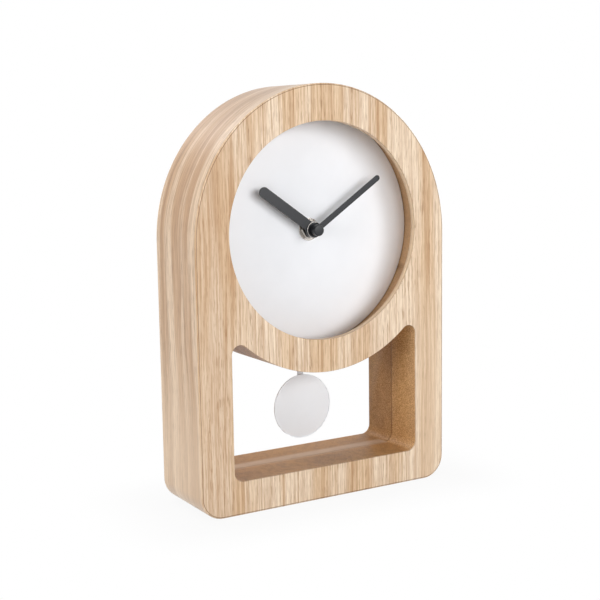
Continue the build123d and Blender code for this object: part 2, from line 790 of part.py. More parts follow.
with BuildPart() as pendulum_bob:
    rim_front = rod_front - bob_rim
    dome_radius = (bob_radius**2 + bob_dome**2) / (2 * bob_dome)
    dome_centre = rim_front - bob_dome + dome_radius
    profile = [(rod_front, 0), (rod_front, bob_radius)]
    for band in range(dome_bands + 1):
        reach = bob_radius * (1 - band / dome_bands)
        profile.append((dome_centre - (dome_radius**2 - reach**2) ** 0.5, reach))
    with BuildSketch(Plane.YZ):
        with BuildLine():
            Polyline(*[(y, bob_z + reach) for y, reach in profile], close=True)
        make_face()
    revolve(axis=Axis((0, 0, bob_z), (0, 1, 0)))
keep(pendulum_bob, "pendulum_bob")
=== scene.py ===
"""Dresses the desk pendulum clock: veneered arched case, dial, hands, pendulum and battery movement.

Metres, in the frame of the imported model: x to the viewer's right, y to the back, z up.
"""

import json
from functools import partial
from math import acos, asin, atan2, cos, degrees, hypot, pi, radians, sin, sqrt
from typing import NamedTuple

import bmesh
import bpy
from bpy.props import FloatProperty, FloatVectorProperty, PointerProperty
from mathutils import Matrix, Quaternion, Vector


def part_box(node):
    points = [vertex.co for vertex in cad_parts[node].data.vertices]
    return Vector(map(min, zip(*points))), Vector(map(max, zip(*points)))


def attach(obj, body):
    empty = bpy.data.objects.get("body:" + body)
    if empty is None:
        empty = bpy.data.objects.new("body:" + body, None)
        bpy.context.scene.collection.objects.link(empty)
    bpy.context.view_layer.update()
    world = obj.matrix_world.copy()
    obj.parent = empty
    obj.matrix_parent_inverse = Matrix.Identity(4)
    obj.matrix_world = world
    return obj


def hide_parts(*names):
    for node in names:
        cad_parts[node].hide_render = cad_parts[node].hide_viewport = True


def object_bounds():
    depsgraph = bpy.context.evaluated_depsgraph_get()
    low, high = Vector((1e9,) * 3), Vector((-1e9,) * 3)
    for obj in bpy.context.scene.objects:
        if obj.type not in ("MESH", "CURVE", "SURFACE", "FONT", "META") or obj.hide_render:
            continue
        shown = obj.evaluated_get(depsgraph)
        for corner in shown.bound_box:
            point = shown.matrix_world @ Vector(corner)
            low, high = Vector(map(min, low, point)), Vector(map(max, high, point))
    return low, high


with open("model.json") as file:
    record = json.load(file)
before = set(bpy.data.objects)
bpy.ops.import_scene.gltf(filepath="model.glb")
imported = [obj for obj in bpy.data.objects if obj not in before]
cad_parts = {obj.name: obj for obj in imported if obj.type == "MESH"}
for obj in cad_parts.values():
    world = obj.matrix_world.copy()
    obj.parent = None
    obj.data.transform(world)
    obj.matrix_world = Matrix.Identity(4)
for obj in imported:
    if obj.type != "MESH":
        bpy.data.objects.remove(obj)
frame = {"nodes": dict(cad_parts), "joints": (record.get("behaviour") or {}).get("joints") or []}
cad_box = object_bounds()

bl_info = {
    "name": "Desk pendulum clock",
    "version": (1, 0, 0),
    "blender": (4, 5, 0),
    "location": "View3D > Sidebar > Clock",
    "description": "Dresses the frame of a desk pendulum clock",
    "category": "Object",
}


def corners(node):
    """Vertices of a node of the frame."""
    return [vertex.co for vertex in frame["nodes"][node].data.vertices]


def from_axis(point):
    """Distance of a point from the hands' axis."""
    return hypot(point.x, point.z - axis_z)


def bore_of(node):
    """Radius of a node's bore about the hands' axis."""
    return min(map(from_axis, corners(node)))


def place_of(joint):
    """Where a joint's axis crosses the front of the clock, as x and z."""
    found = next(row for row in frame["joints"] if row["name"] == joint)
    return found["pos_m"][0], found["pos_m"][2]


MM = 0.001
SAME = 0.01 * MM  # places this close are one place
NEAR = 0.1 * MM  # slack for picking the points of a rim

# Places that the frame gives
hands_axis = place_of("minute_turn")
axis_z = hands_axis[1]
half_width, top_z = cad_box[1].x, cad_box[1].z
front_low, front_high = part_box("front_veneer")
front_y, rear_y = front_low.y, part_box("rear_veneer")[1].y
seam_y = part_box("case_rear_board")[0].y
veneer = front_high.y - front_low.y
spring_z = max(p.z for p in corners("edge_veneer") if abs(p.x) > half_width - SAME)
arch_rise = top_z - spring_z
opening_radius = bore_of("front_veneer")
rear_hole_radius = bore_of("rear_veneer")
channel_half = min(abs(p.x) for p in corners("rear_veneer") if p.z < axis_z)
dial_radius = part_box("dial")[1].x
pocket_radius = min(from_axis(p) for p in corners("case_front_board") if from_axis(p) > dial_radius)
window_half = opening_radius  # the window is as wide as the dial opening
sill_z = min(p.z for p in corners("front_veneer") if abs(p.x) < window_half and p.z > 3 * veneer)
bridge = [p for p in corners("front_veneer") if abs(p.x) < half_width / 2 and sill_z + veneer < p.z < axis_z]
window_arc = min(from_axis(p) for p in bridge if from_axis(p) > opening_radius + veneer)


# Settings that a user would change


def tint(red, green, blue):
    """Linear colour of a swatch whose red, green and blue run from 0 to 255."""
    levels = [level / 255 for level in (red, green, blue)]
    return [level / 12.92 if level <= 0.04045 else ((level + 0.055) / 1.055) ** 2.4 for level in levels]


def length(label, note, value):
    """Setting for a length in metres."""
    return FloatProperty(name=label, description=note, default=value, min=0, unit="LENGTH", precision=5)


def angle(label, note, value):
    """Setting for an angle, given in degrees."""
    return FloatProperty(name=label, description=note, default=radians(value), unit="ROTATION")


def share(label, note, value):
    """Setting for a share from nought to one."""
    return FloatProperty(name=label, description=note, default=value, min=0, max=1, subtype="FACTOR")


def power(label, note, value):
    """Setting for the power of a lamp in watts."""
    return FloatProperty(name=label, description=note, default=value, min=0, unit="POWER")


def colour(label, note, value):
    """Setting for a linear colour."""
    return FloatVectorProperty(name=label, description=note, default=value, min=0, max=1, subtype="COLOR")


def point(label, note, value):
    """Setting for a place."""
    return FloatVectorProperty(name=label, description=note, default=value, subtype="TRANSLATION")


class CaseSettings(bpy.types.PropertyGroup):
    """Sizes and colours of the wooden case"""

    corner_radius: length("Lower corner", "Radius of the lower outer corners", 14 * MM)
    low_corner: length("Sill corner", "Radius of the window's lower corners", 6 * MM)
    high_corner: length("Bridge corner", "Radius of the window's upper corners", 5.4 * MM)
    edge_round: length("Outer edge", "Rounding of the outer edges of the front and back", 1.2 * MM)
    cut_round: length("Cut edge", "Rounding of the edges round the openings", 0.15 * MM)
    face_light: colour("Face light", "Pale wood of the front and back", tint(237, 218, 194))
    face_mid: colour("Face middle", "Darker bands of the front and back", tint(222, 195, 163))
    face_dark: colour("Face dark", "Grain lines of the front and back", tint(168, 123, 79))
    glue: colour("Glue", "Dark glue between the veneers and the boards", tint(112, 80, 52))
    edge_light: colour("Edge light", "Pale wood of the edge band", tint(228, 202, 172))
    edge_mid: colour("Edge middle", "Darker bands of the edge band", tint(189, 151, 113))
    edge_dark: colour("Edge dark", "Grain lines of the edge band", tint(158, 119, 82))
    board_light: colour("Board light", "Pale fibres of the fibreboard", tint(211, 165, 111))
    board_dark: colour("Board dark", "Dark fibres of the fibreboard", tint(154, 109, 63))
    # Painted light: the pocket wall's colour is paler and greyer than the board's, standing in for the light
    # on the wall.
    pocket: colour("Pocket wall", "Dulled wall of the pocket round the dial", tint(196, 163, 131))
    lip_edge: colour("Lip edge", "Pale cut edge of the lip round the dial", tint(226, 198, 164))
    # Painted light: the depth below sets how far the cut edges are painted paler towards the front.
    painted_light_depth: length("Sanded depth", "How far in from the front the cut edges are sanded", 14 * MM)
    # Painted sheen: the two settings below paint a pale band along the seam of the sill, standing in for a
    # reflection in the lacquer.
    sill_sheen: colour("Filler", "Pale filler rubbed along the seam of the sill", tint(204, 178, 156))
    sill_sheen_reach: length("Filler reach", "How far behind the seam the filler runs", 7 * MM)


class DialSettings(bpy.types.PropertyGroup):
    """Sizes and colours of the dial, its fixings and the hands"""

    dial_round: length("Dial edge", "Rounding of the dial's edges", 0.4 * MM)
    washer_round: length("Washer edge", "Rounding of the washer's front edge", 0.2 * MM)
    nut_round: length("Nut edge", "Rounding of the nut's edges and of the washer's rear edge", 0.1 * MM)
    hour_turn: angle("Hour hand", "Where the hour hand points, right of twelve o'clock", -55.0)
    hour_width: length("Hour blade", "Width of the hour hand's blade", 6.4 * MM)
    hour_thickness: length("Hour blade thickness", "Thickness of the hour hand's blade", 0.6 * MM)
    hour_setback: length("Hour blade setback", "Collet's front rim to the blade", 0.3 * MM)
    hour_collet: length("Hour collet", "Radius of the hour hand's collet", 4.85 * MM)
    minute_turn: angle("Minute hand", "Where the minute hand points, right of twelve o'clock", 56.2)
    minute_width: length("Minute blade", "Width of the minute hand's blade", 3.6 * MM)
    minute_thickness: length("Minute blade thickness", "Thickness of the minute hand's blade", 0.5 * MM)
    minute_collar: length("Minute collar", "Radius of the minute hand's collar", 3.0 * MM)
    hand_round: length("Hand edge", "Rounding of the hands' edges", 0.12 * MM)
    rim_width: length("Bright rim", "Width of the bright rim of the hour hand's collet", 0.15 * MM)
    cap_round: length("Cap edge", "Rounding of the cap's front edge", 0.6 * MM)
    cap_back: length("Cap back", "Rounding of the cap's rear edge", 0.1 * MM)
    face: colour("Dial", "Paint of the dial", tint(241, 243, 247))
    paint: colour("Hands", "Black paint of the hands", tint(33, 34, 38))
    nickel: colour("Nickel", "Plating of the nut, washer and bush", tint(186, 181, 176))


class PendulumSettings(bpy.types.PropertyGroup):
    """Sizes and colours of the pendulum"""

    rim_round: length("Bob rim", "Rounding of the bob's front rim", 0.3 * MM)
    back_round: length("Bob back", "Rounding of the bob's rear rim", 1.8 * MM)
    rod_round: length("Rod edge", "Rounding of the rod's edges", 0.15 * MM)
    paint: colour("Paint", "White paint of the bob and rod", tint(235, 238, 242))


class MovementSettings(bpy.types.PropertyGroup):
    """Sizes and colours of the battery movement"""

    edge_round: length("Moulded edge", "Rounding of the moulded edges", 0.25 * MM)
    mark_width: length("Mark width", "Width of the raised marks on the movement's back", 1.0 * MM)
    mark_height: length("Mark height", "Height of the raised marks on the movement's back", 0.4 * MM)
    cell_roll: length("Battery rim", "Rolled rims of the battery", 0.5 * MM)
    wire: length("Wire", "Thickness of the windings' wire", 0.22 * MM)
    shell: colour("Shells", "Black plastic of the shells", tint(38, 38, 40))
    wheel: colour("Wheels", "White plastic of the wheels", tint(228, 227, 220))
    steel: colour("Steel", "Arbors, stator and contacts", tint(190, 190, 194))
    magnet: colour("Magnets", "Sintered magnet", tint(92, 92, 96))
    copper: colour("Windings", "Enamelled copper wire", tint(176, 92, 48))
    board: colour("Circuit board", "Lacquer of the circuit board", tint(38, 98, 58))
    jacket: colour("Battery", "Wrap of the battery", tint(96, 106, 118))
    rubber: colour("Rubber", "Black rubber", tint(34, 34, 34))


class StageSettings(bpy.types.PropertyGroup):
    """Camera, lamps and floor"""

    camera_place: point("Camera", "Where the camera stands", (-0.369578, -0.612163, 0.221703))
    camera_aim: point("Aim", "Where the camera looks", (-0.003390, 0.0, 0.118517))
    camera_roll: angle("Roll", "Tilt of the camera about its line of sight", -0.8778)
    camera_lens: FloatProperty(
        name="Lens", description="Focal length on a 36 mm sensor", default=70.8722, unit="CAMERA")
    key_place: point("Key lamp", "Where the main lamp stands", (0.60, -1.30, 0.47))
    key_power: power("Key power", "Light of the main lamp", 9.2)
    top_place: point("Top lamp", "Where the lamp over the case stands", (-0.30, 0.10, 1.50))
    top_power: power("Top power", "Light of the lamp over the case", 7.0)
    side_place: point("Side lamp", "Where the lamp beside the left edge stands", (-1.40, -0.34, 0.32))
    side_power: power("Side power", "Light of the side lamp", 11.0)
    fill_place: point("Front lamp", "Where the soft front lamp stands", (-0.12, -1.55, 0.33))
    fill_power: power("Front power", "Light of the front lamp", 8.5)
    back_place: point("Back lamp", "Where the high lamp behind stands", (-0.45, 1.10, 1.40))
    back_power: power("Back power", "Light of the high lamp behind", 10.0)
    rear_place: point("Rear lamp", "Where the low lamp behind the right side stands", (1.50, 0.72, 0.50))
    rear_power: power("Rear power", "Light of the low lamp behind", 19.0)
    room_front: share("Room front", "Soft light from the front", 0.12)
    room_back: share("Room back", "Soft light from behind", 0.20)
    floor_light: colour("Floor light", "Light parts of the floor", (0.54, 0.54, 0.54))
    floor_dark: colour("Floor dark", "Dark parts of the floor", (0.50, 0.50, 0.50))
    floor_radius: length("Floor radius", "Radius of the round floor", 6.0)
    floor_shadow: share("Floor shadow", "How much of the shadow the pale floor shows", 0.07)
    shadow_reach: length("Shadow reach", "How far from the case the floor shows its shadow", 60 * MM)


# Materials


class Socket:
    """Output of a node; arithmetic on it adds Math nodes."""

    def __init__(self, finish, output):
        self.finish = finish
        self.output = output

    def __add__(self, other):
        return self.finish.maths("ADD", self, other)

    def __sub__(self, other):
        return self.finish.maths("SUBTRACT", self, other)

    def __rsub__(self, other):
        return self.finish.maths("SUBTRACT", other, self)

    def __mul__(self, other):
        return self.finish.maths("MULTIPLY", self, other)

    __radd__ = __add__
    __rmul__ = __mul__


class Finish:
    """Nodes of one finish of the clock, or of the room around it."""

    def __init__(self, holder):
        holder.use_nodes = True
        self.holder = holder
        self.nodes = holder.node_tree.nodes
        self.nodes.clear()

    def feed(self, place, value):
        """Link a socket to an input, or set the input to a number or colour."""
        if isinstance(value, Socket):
            self.holder.node_tree.links.new(value.output, place)
        elif place.type == "RGBA" and len(value) == 3:
            place.default_value = (*value, 1)
        else:
            place.default_value = value

    def node(self, kind, settings=None, sockets=None, output=0):
        """Add a node; its settings are set first, then its sockets by name or number."""
        node = self.nodes.new("ShaderNode" + kind)
        for name, value in (settings or {}).items():
            setattr(node, name, value)
        for name, value in (sockets or {}).items():
            self.feed(node.inputs[name], value)
        return Socket(self, node.outputs[output]) if node.outputs else None

    def place(self):
        """The three coordinates of a point of the piece."""
        whole = self.node("TexCoord", output="Object")
        return [self.node("SeparateXYZ", None, {0: whole}, axis) for axis in "XYZ"]

    def noise(self, x, y, z, detail=2.0, rough=0.5):
        """Cloudy value about a half; the three values are places in clouds of size one."""
        where = self.node("CombineXYZ", None, {0: x, 1: y, 2: z})
        sockets = {"Vector": where, "Scale": 1.0, "Detail": detail, "Roughness": rough}
        return self.node("TexNoise", None, sockets)

    def skin(self, place, count, detail=3, rough=0.6):
        """Cloudy value with the same count of clouds in a metre each way."""
        x, y, z = place
        return self.noise(x * count, y * count, z * count, detail, rough)

    def fade(self, value, low, high):
        """Smooth step from nought at the low value to one at the high value."""
        settings = {"interpolation_type": "SMOOTHSTEP"}
        return self.node("MapRange", settings, {"Value": value, "From Min": low, "From Max": high})

    def mix(self, amount, first, second):
        """Colour between two colours."""
        return self.node("Mix", {"data_type": "RGBA"}, {0: amount, 6: first, 7: second}, 2)

    def bump(self, height, strength, depth):
        """Normal of a surface with a small relief; the depth is the height of a full step."""
        return self.node("Bump", None, {"Height": height, "Strength": strength, "Distance": depth})

    def surface(self, **sockets):
        """Finish with a principled surface; the names have underscores for spaces."""
        named = {name.replace("_", " "): value for name, value in sockets.items()}
        return self.close(self.node("BsdfPrincipled", None, named))

    def close(self, shader, kind="Material"):
        """Lead a shader to the output and give back the material or room."""
        self.node("Output" + kind, None, {"Surface": shader})
        return self.holder

    def maths(self, operation, *values):
        """Math node for what the operators of a socket don't cover."""
        return self.node("Math", {"operation": operation}, dict(enumerate(values)))


def new_finish(name):
    """Empty finish in a new material."""
    return Finish(bpy.data.materials.new(name))


def dim(base, part):
    """Part of a colour's light."""
    return [level * part for level in base]


def from_hands(finish, x, z):
    """Distance from the hands' axis."""
    return finish.maths("SQRT", x * x + (z - axis_z) * (z - axis_z))


class Grain(NamedTuple):
    """Grain of one veneer; counts are in a metre."""

    seed: float  # which leaf of veneer
    bend: float  # count of bends along a line
    sway: float  # how far the lines sway
    band: float  # count of broad bands
    streak: float  # count of dark streaks
    ring: float  # spacing of the rings
    line: float  # where the dark line of a ring starts
    contrast: float  # strength of the rings and streaks
    fine: float  # strength of the fine lines


class Marks(NamedTuple):
    """Cloudy marks in a veneer: their counts in a metre, and the values between which they show."""

    across: float
    along: float
    shift: float = 0.0
    low: float = 0.0
    high: float = 1.0
    detail: float = 2

    def cloud(self, finish, lane, along, seed):
        """Cloudy value of the marks."""
        return finish.noise(lane * self.across, along * self.along, seed + self.shift, self.detail)

    def show(self, finish, lane, along, seed):
        """The marks themselves, from nought to one."""
        return finish.fade(self.cloud(finish, lane, along, seed), self.low, self.high)


FACE_GRAIN = Grain(seed=2.0, bend=5, sway=5 * MM, band=58, streak=460, ring=2.6 * MM, line=0.40,
                   contrast=0.52, fine=0.36)
EDGE_GRAIN = Grain(seed=47.0, bend=10, sway=11 * MM, band=75, streak=210, ring=4.6 * MM, line=0.3,
                   contrast=0.72, fine=0.30)
WAVER = Marks(150, 5, 6.2)
RING_WEIGHT = Marks(230, 8, 9.1, 0.34, 0.70)
FINE_LINES = Marks(820, 12, 29.6, 0.50, 0.58)
FIBRES = Marks(1300, 42, 13.3, 0.38, 0.66, 3)
PORES = Marks(1700, 125, 17.9, 0.50, 0.60)
WAVER_RINGS = 4  # how many rings a line wavers by
FAINT_RING = 0.15  # weight of the faintest ring
PALE_BAND = 0.4  # strength of the grain in a pale band
FIBRE_SHARE = 0.30
PORE_SHARE = 0.21
LINE_PORES = 0.44  # further share of the pores in a dark line
PORE_DARK = 0.72
VENEER_ROUGH = 0.48
VENEER_SPREAD = 0.16  # how far the fibres change the roughness
EDGE_POLISH = 0.24  # how much smoother the edge band is

# How far one colour of the case goes to another. The left side and the sill get painted shade; the lower
# right, the foot of the edge band, the pocket wall and the front of the cut edges get painted light.
LEFT_RAIL_PAINTED_SHADE = 0.27
RIGHT_FOOT_PAINTED_LIGHT = 0.32
EDGE_FOOT_PAINTED_LIGHT = 0.40
GLUE_LINE = 0.75
SEAM_GLUE = 0.45
LIP_GLUE = 0.32
POCKET_PAINTED_LIGHT = 0.6
FRONT_PAINTED_LIGHT = 0.12
SILL_SHADE = 0.42


def veneer_finish(finish, across, along, grain, colours):
    """Lacquered veneer: rings of open pores in pale wood, with the grain along one direction."""
    light, mid, dark = colours
    seed = grain.seed
    sway = Marks(20, grain.bend).cloud(finish, across, along, seed) - 0.5
    lane = across + sway * grain.sway
    here = finish, lane, along, seed
    bands = Marks(grain.band, 4, 3.7, 0.42, 0.60).show(*here)
    phase = lane * (1 / grain.ring) + WAVER.cloud(*here) * WAVER_RINGS
    ring = finish.maths("PINGPONG", phase, 0.5) * 2
    weight = RING_WEIGHT.show(*here) * (1 - FAINT_RING) + FAINT_RING
    lines = finish.fade(ring, grain.line, 1.0) * weight
    streaks = Marks(grain.streak, 4, 25.3, 0.50, 0.66, 3).show(*here)
    fine = FINE_LINES.show(*here)
    fibres = FIBRES.cloud(*here)
    threads = finish.fade(fibres, FIBRES.low, FIBRES.high)
    pores = PORES.show(*here)
    strength = (bands * (1 - PALE_BAND) + PALE_BAND) * grain.contrast
    wood = finish.mix(bands, light, mid)
    for marks, depth in (streaks, strength), (lines, strength), (fine, grain.fine), (threads, FIBRE_SHARE):
        wood = finish.mix(marks * depth, wood, dark)
    wood = finish.mix(pores * (lines * LINE_PORES + PORE_SHARE), wood, dim(dark, PORE_DARK))
    relief = finish.bump(fibres * 0.4 - pores * lines - lines * 0.3, 0.25, 0.15 * MM)
    return wood, fibres * VENEER_SPREAD + VENEER_ROUGH, relief


def face_finish(look):
    """Veneer of the front and back: upright grain, painted shade along the left side, painted light low on
    the right, and a dark glue line along its outer edge.
    """
    finish = new_finish("face_veneer")
    x, y, z = finish.place()
    colours = look.face_light, look.face_mid, look.face_dark
    wood, rough, relief = veneer_finish(finish, x, z, FACE_GRAIN, colours)
    # Painted shade: the left side of the face is darkened towards the grain's dark colour.
    rail_shade = 1 - finish.fade(x, -half_width * 0.85, -half_width * 0.6)
    wood = finish.mix(rail_shade * LEFT_RAIL_PAINTED_SHADE, wood, look.face_dark)
    # Painted light: the right side of the face is paler low down.
    right = finish.fade(x, half_width * 0.6, half_width * 0.9)
    foot = 1 - finish.fade(z, axis_z * 0.5, axis_z * 0.9)
    wood = finish.mix(right * foot * RIGHT_FOOT_PAINTED_LIGHT, wood, look.face_light)
    depth = rear_y - finish.maths("ABSOLUTE", y)
    start, end = 0.004 * MM, 0.06 * MM  # depths of the glue line in the rounded edge
    glue = finish.fade(depth, start, 2 * start) * (1 - finish.fade(depth, end, 2 * end))
    outer = finish.fade(from_hands(finish, x, z), opening_radius + veneer, opening_radius + 2 * veneer)
    wood = finish.mix(glue * outer * GLUE_LINE, wood, look.glue)
    return finish.surface(Base_Color=wood, Roughness=rough, Normal=relief, Specular_IOR_Level=0.3)


def edge_finish(look):
    """Veneer of the edge band: its grain runs up the side and over the arch, with painted light low down."""
    finish = new_finish("edge_veneer")
    x, y, z = finish.place()
    above = finish.maths("MAXIMUM", z - spring_z, 0.0)
    below = finish.maths("MINIMUM", z, spring_z)
    turn = finish.maths("ARCTAN2", above, finish.maths("ABSOLUTE", x))
    climb = below + turn * half_width
    along = finish.maths("SIGN", x) * (spring_z + half_width * pi / 2 - climb)
    colours = look.edge_light, look.edge_mid, look.edge_dark
    wood, rough, relief = veneer_finish(finish, y, along, EDGE_GRAIN, colours)
    # Painted light: the edge band is paler low down, standing in for light from the floor and the side.
    foot = 1 - finish.fade(z, spring_z * 0.2, spring_z * 0.7)
    wood = finish.mix(foot * EDGE_FOOT_PAINTED_LIGHT, wood, look.edge_light)
    rough = rough - EDGE_POLISH
    return finish.surface(Base_Color=wood, Roughness=rough, Normal=relief, Specular_IOR_Level=0.7)


def board_finish(look):
    """Brown lacquered fibreboard with a glued seam and a pale lip, and with painted light and shade: a paler
    pocket wall, paler cut edges towards the front, a darker sill and a pale sheen behind the seam of the
    sill.
    """
    finish = new_finish("fibreboard")
    x, y, z = place = finish.place()
    blend = 0.4 * MM  # width over which one part of the board goes over into the next
    speckle = finish.skin(place, 1500, 3, 0.7)
    clouds = finish.skin(place, 120, 3, 0.5)
    behind = finish.fade(y, seam_y, seam_y + blend)
    tone = finish.fade(speckle * 0.85 + clouds * 0.15, 0.38, 0.62) - behind * 0.3
    wood = finish.mix(tone, look.board_dark, look.board_light)
    seam = 1 - finish.fade(finish.maths("ABSOLUTE", y - seam_y), blend, 2 * blend)
    wood = finish.mix(seam * SEAM_GLUE, wood, look.glue)
    reach = from_hands(finish, x, z)
    # Painted light: the pocket wall is painted paler and greyer than the board.
    wall = 1 - finish.fade(reach, pocket_radius + blend, pocket_radius + 2 * blend)
    wood = finish.mix(wall * POCKET_PAINTED_LIGHT, wood, look.pocket)
    lip = 1 - finish.fade(reach, opening_radius, opening_radius + blend)
    # Painted light: the cut edges are painted a little paler towards the front, where more light reaches
    # them; the lip keeps its own pale colour.
    painted_front_light = 1 - finish.fade(y, front_y, front_y + look.painted_light_depth)
    wood = finish.mix(finish.maths("MAXIMUM", lip, painted_front_light * FRONT_PAINTED_LIGHT), wood, look.lip_edge)
    glued = 1 - finish.fade(y, front_y + 2 * veneer, front_y + 3 * veneer)
    wood = finish.mix(lip * glued * LIP_GLUE, wood, look.glue)
    # Painted shade: the sill is darkened towards the board's dark colour.
    sill = 1 - finish.fade(z, sill_z, sill_z + blend)
    wood = finish.mix(sill * SILL_SHADE, wood, look.board_dark)
    flecks = finish.fade(finish.noise(x * 330, y * 260, z * 420, 4, 0.7), 0.46, 0.60)
    wood = finish.mix(flecks * (sill * 0.22 + 0.10), wood, dim(look.board_dark, 0.55))
    # Painted reflection: a pale sheen along the sill just behind the seam.
    off = finish.maths("ABSOLUTE", y - seam_y - look.sill_sheen_reach * 0.5)
    painted_sheen = 1 - finish.fade(off, look.sill_sheen_reach * 0.3, look.sill_sheen_reach)
    wood = finish.mix(painted_sheen * sill * (clouds * 0.5 + 0.35), wood, look.sill_sheen)
    relief = finish.bump(speckle, 0.2, 0.1 * MM)
    rough = clouds * 0.2 + 0.34
    return finish.surface(Base_Color=wood, Roughness=rough, Normal=relief, Specular_IOR_Level=0.18)


SKIN_DEPTH = 0.05 * MM  # relief of paint, plastic and plate
SKIN_SPREAD = 0.15  # how far that relief changes the roughness


def paint_finish(name, base, rough, count, relief, metallic=0.0, gloss=0.5):
    """Even coat of paint, moulded plastic or plate with a fine skin; the count is its bumps in a metre."""
    finish = new_finish(name)
    place = finish.place()
    skin = finish.skin(place, count)
    clouds = finish.skin(place, 60, 2, 0.5)
    body = finish.mix(finish.fade(clouds, 0.3, 0.7), dim(base, 0.98), base)
    body = finish.mix(skin * 0.12, body, dim(base, 0.7))
    normal = finish.bump(skin, relief, SKIN_DEPTH)
    return finish.surface(Base_Color=body, Roughness=skin * SKIN_SPREAD + rough, Metallic=metallic,
                          Normal=normal, Specular_IOR_Level=gloss)


def hand_finish(look):
    """Satin black paint, rubbed bright along the front rim of the hour hand's collet."""
    finish = new_finish("hand_black")
    x, y, z = place = finish.place()
    skin = finish.skin(place, 2600)
    rim, collet = look.rim_width, look.hour_collet
    reach = from_hands(finish, x, z)
    bright = finish.fade(reach, collet - 2 * rim, collet - rim)
    bright = bright * (1 - finish.fade(reach, collet + rim, collet + 2 * rim))
    off = finish.maths("ABSOLUTE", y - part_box("hour_hand")[0].y)
    bright = bright * (1 - finish.fade(off, rim, 1.5 * rim))
    paint = finish.mix(skin * 0.3, look.paint, dim(look.paint, 0.7))
    body = finish.mix(bright, paint, look.nickel)
    normal = finish.bump(skin, 0.1, SKIN_DEPTH)
    return finish.surface(Base_Color=body, Roughness=skin * SKIN_SPREAD + 0.26, Metallic=bright,
                          Normal=normal, Specular_IOR_Level=0.3)


def jacket_finish(look):
    """Wrap of the battery between its bare metal ends."""
    finish = new_finish("battery_jacket")
    place = finish.place()
    x = place[0]
    low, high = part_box("battery")
    start, end = low.x + 0.8 * MM, high.x - 1.8 * MM
    skin = finish.skin(place, 900)
    wrapped = finish.fade(x, start, start + NEAR) * (1 - finish.fade(x, end - NEAR, end))
    wrap = finish.mix(skin * 0.2, look.jacket, dim(look.jacket, 0.8))
    body = finish.mix(wrapped, look.steel, wrap)
    normal = finish.bump(skin, 0.05, SKIN_DEPTH)
    return finish.surface(Base_Color=body, Roughness=skin * SKIN_SPREAD + 0.25, Metallic=1 - wrapped * 0.6,
                          Normal=normal)


def turned_finish(name, base, rough):
    """Metal with fine rings left by the lathe, about the hands' axis."""
    finish = new_finish(name)
    x, y, z = finish.place()
    reach = from_hands(finish, x, z)
    rings = finish.noise(reach * 9000, y * 9000, 4.0, 2)
    metal = finish.mix(finish.fade(rings, 0.3, 0.7), dim(base, 0.8), base)
    normal = finish.bump(rings, 0.15, 0.03 * MM)
    return finish.surface(Base_Color=metal, Roughness=rings * 0.2 + rough, Metallic=1.0, Normal=normal)


def winding_finish(look, axis):
    """Fine wire laid turn beside turn along an axis, with painted shade in the grooves between the turns."""
    finish = new_finish("winding_" + axis)
    along = dict(zip("xyz", finish.place()))[axis]
    base = look.copper
    turns = finish.maths("SINE", along * (2 * pi / look.wire))
    shade = finish.noise(along * 4000, 1.0, 2.0, 2)
    # Painted shade: the wire darkens towards the grooves between its turns.
    wire = finish.mix(finish.fade(turns, -1.0, 0.6), dim(base, 0.45), base)
    wire = finish.mix(shade * 0.3, wire, dim(base, 0.6))
    normal = finish.bump(turns, 0.5, 0.08 * MM)
    return finish.surface(Base_Color=wire, Roughness=0.35, Metallic=0.7, Normal=normal)


def circuit_finish(base):
    """Green lacquer over pale tracks."""
    finish = new_finish("board_green")
    x, y, z = finish.place()
    tracks = finish.fade(finish.noise(x * 900, y * 900, z * 260, 0), 0.52, 0.56)
    green = finish.mix(tracks, base, dim(base, 1.7))
    normal = finish.bump(tracks, 0.3, SKIN_DEPTH)
    return finish.surface(Base_Color=green, Roughness=0.35 - tracks * 0.08, Normal=normal)


# Meshes

# Straight pieces that stand for each curve
ARCH_STEPS = 120
CASE_CORNER_STEPS = 16
WINDOW_CORNER_STEPS = 10
BRIDGE_STEPS = 56
HALF_BRIDGE_STEPS = 24
REAR_HOLE_STEPS = 110
OPENING_STEPS = 160
DIAL_STEPS = 192
BOB_STEPS = 128
DOME_STEPS = 12
TURNED_STEPS = 96
FACE_EDGE_STEPS = 6
BAND_EDGE_STEPS = 4
TIP_STEPS = 24
MARK_CORNER_STEPS = 8
FLOOR_STEPS = 96
ROUND_STEPS = 5
FINE_STEPS = 3  # of small roundings

WELD = 0.001 * MM  # vertices this close are made one
FLAT = radians(0.5)  # faces that meet at less are one face
HARD = radians(35)  # edges that turn by more are rounded
SMOOTH = radians(38)  # edges that turn by less are shaded smooth


def arc(centre, radius, start, end, count):
    """Points along an arc; angles run anticlockwise from the right, in degrees."""
    angles = [radians(start + (end - start) * step / count) for step in range(count + 1)]
    return [(centre[0] + radius * cos(turn), centre[1] + radius * sin(turn)) for turn in angles]


def circle(centre, radius, count):
    """Points round a circle."""
    return arc(centre, radius, 0, 360, count)[:-1]


def case_outline(size, inset):
    """Arched outline of the case, drawn in by an inset."""
    half = half_width - inset
    corner = size.corner_radius - inset
    rise = arch_rise - inset
    turns = [pi * step / ARCH_STEPS for step in range(ARCH_STEPS + 1)]
    points = [(half * cos(turn), spring_z + rise * sin(turn)) for turn in turns]
    points += arc((-half + corner, inset + corner), corner, 180, 270, CASE_CORNER_STEPS)
    return points + arc((half - corner, inset + corner), corner, 270, 360, CASE_CORNER_STEPS)


def dial_opening(inset):
    """Round opening in front of the dial, cut back by an inset."""
    return circle(hands_axis, opening_radius + inset, OPENING_STEPS)


def bridge_corner(size, inset):
    """Middle, radius and lean in degrees of the window's upper right corner, cut back by an inset."""
    radius = size.high_corner + inset
    across = window_half + inset - radius
    middle = (across, axis_z - sqrt((window_arc - inset + radius) ** 2 - across**2))
    lean = degrees(atan2(middle[1] - axis_z, middle[0]))
    return middle, radius, lean


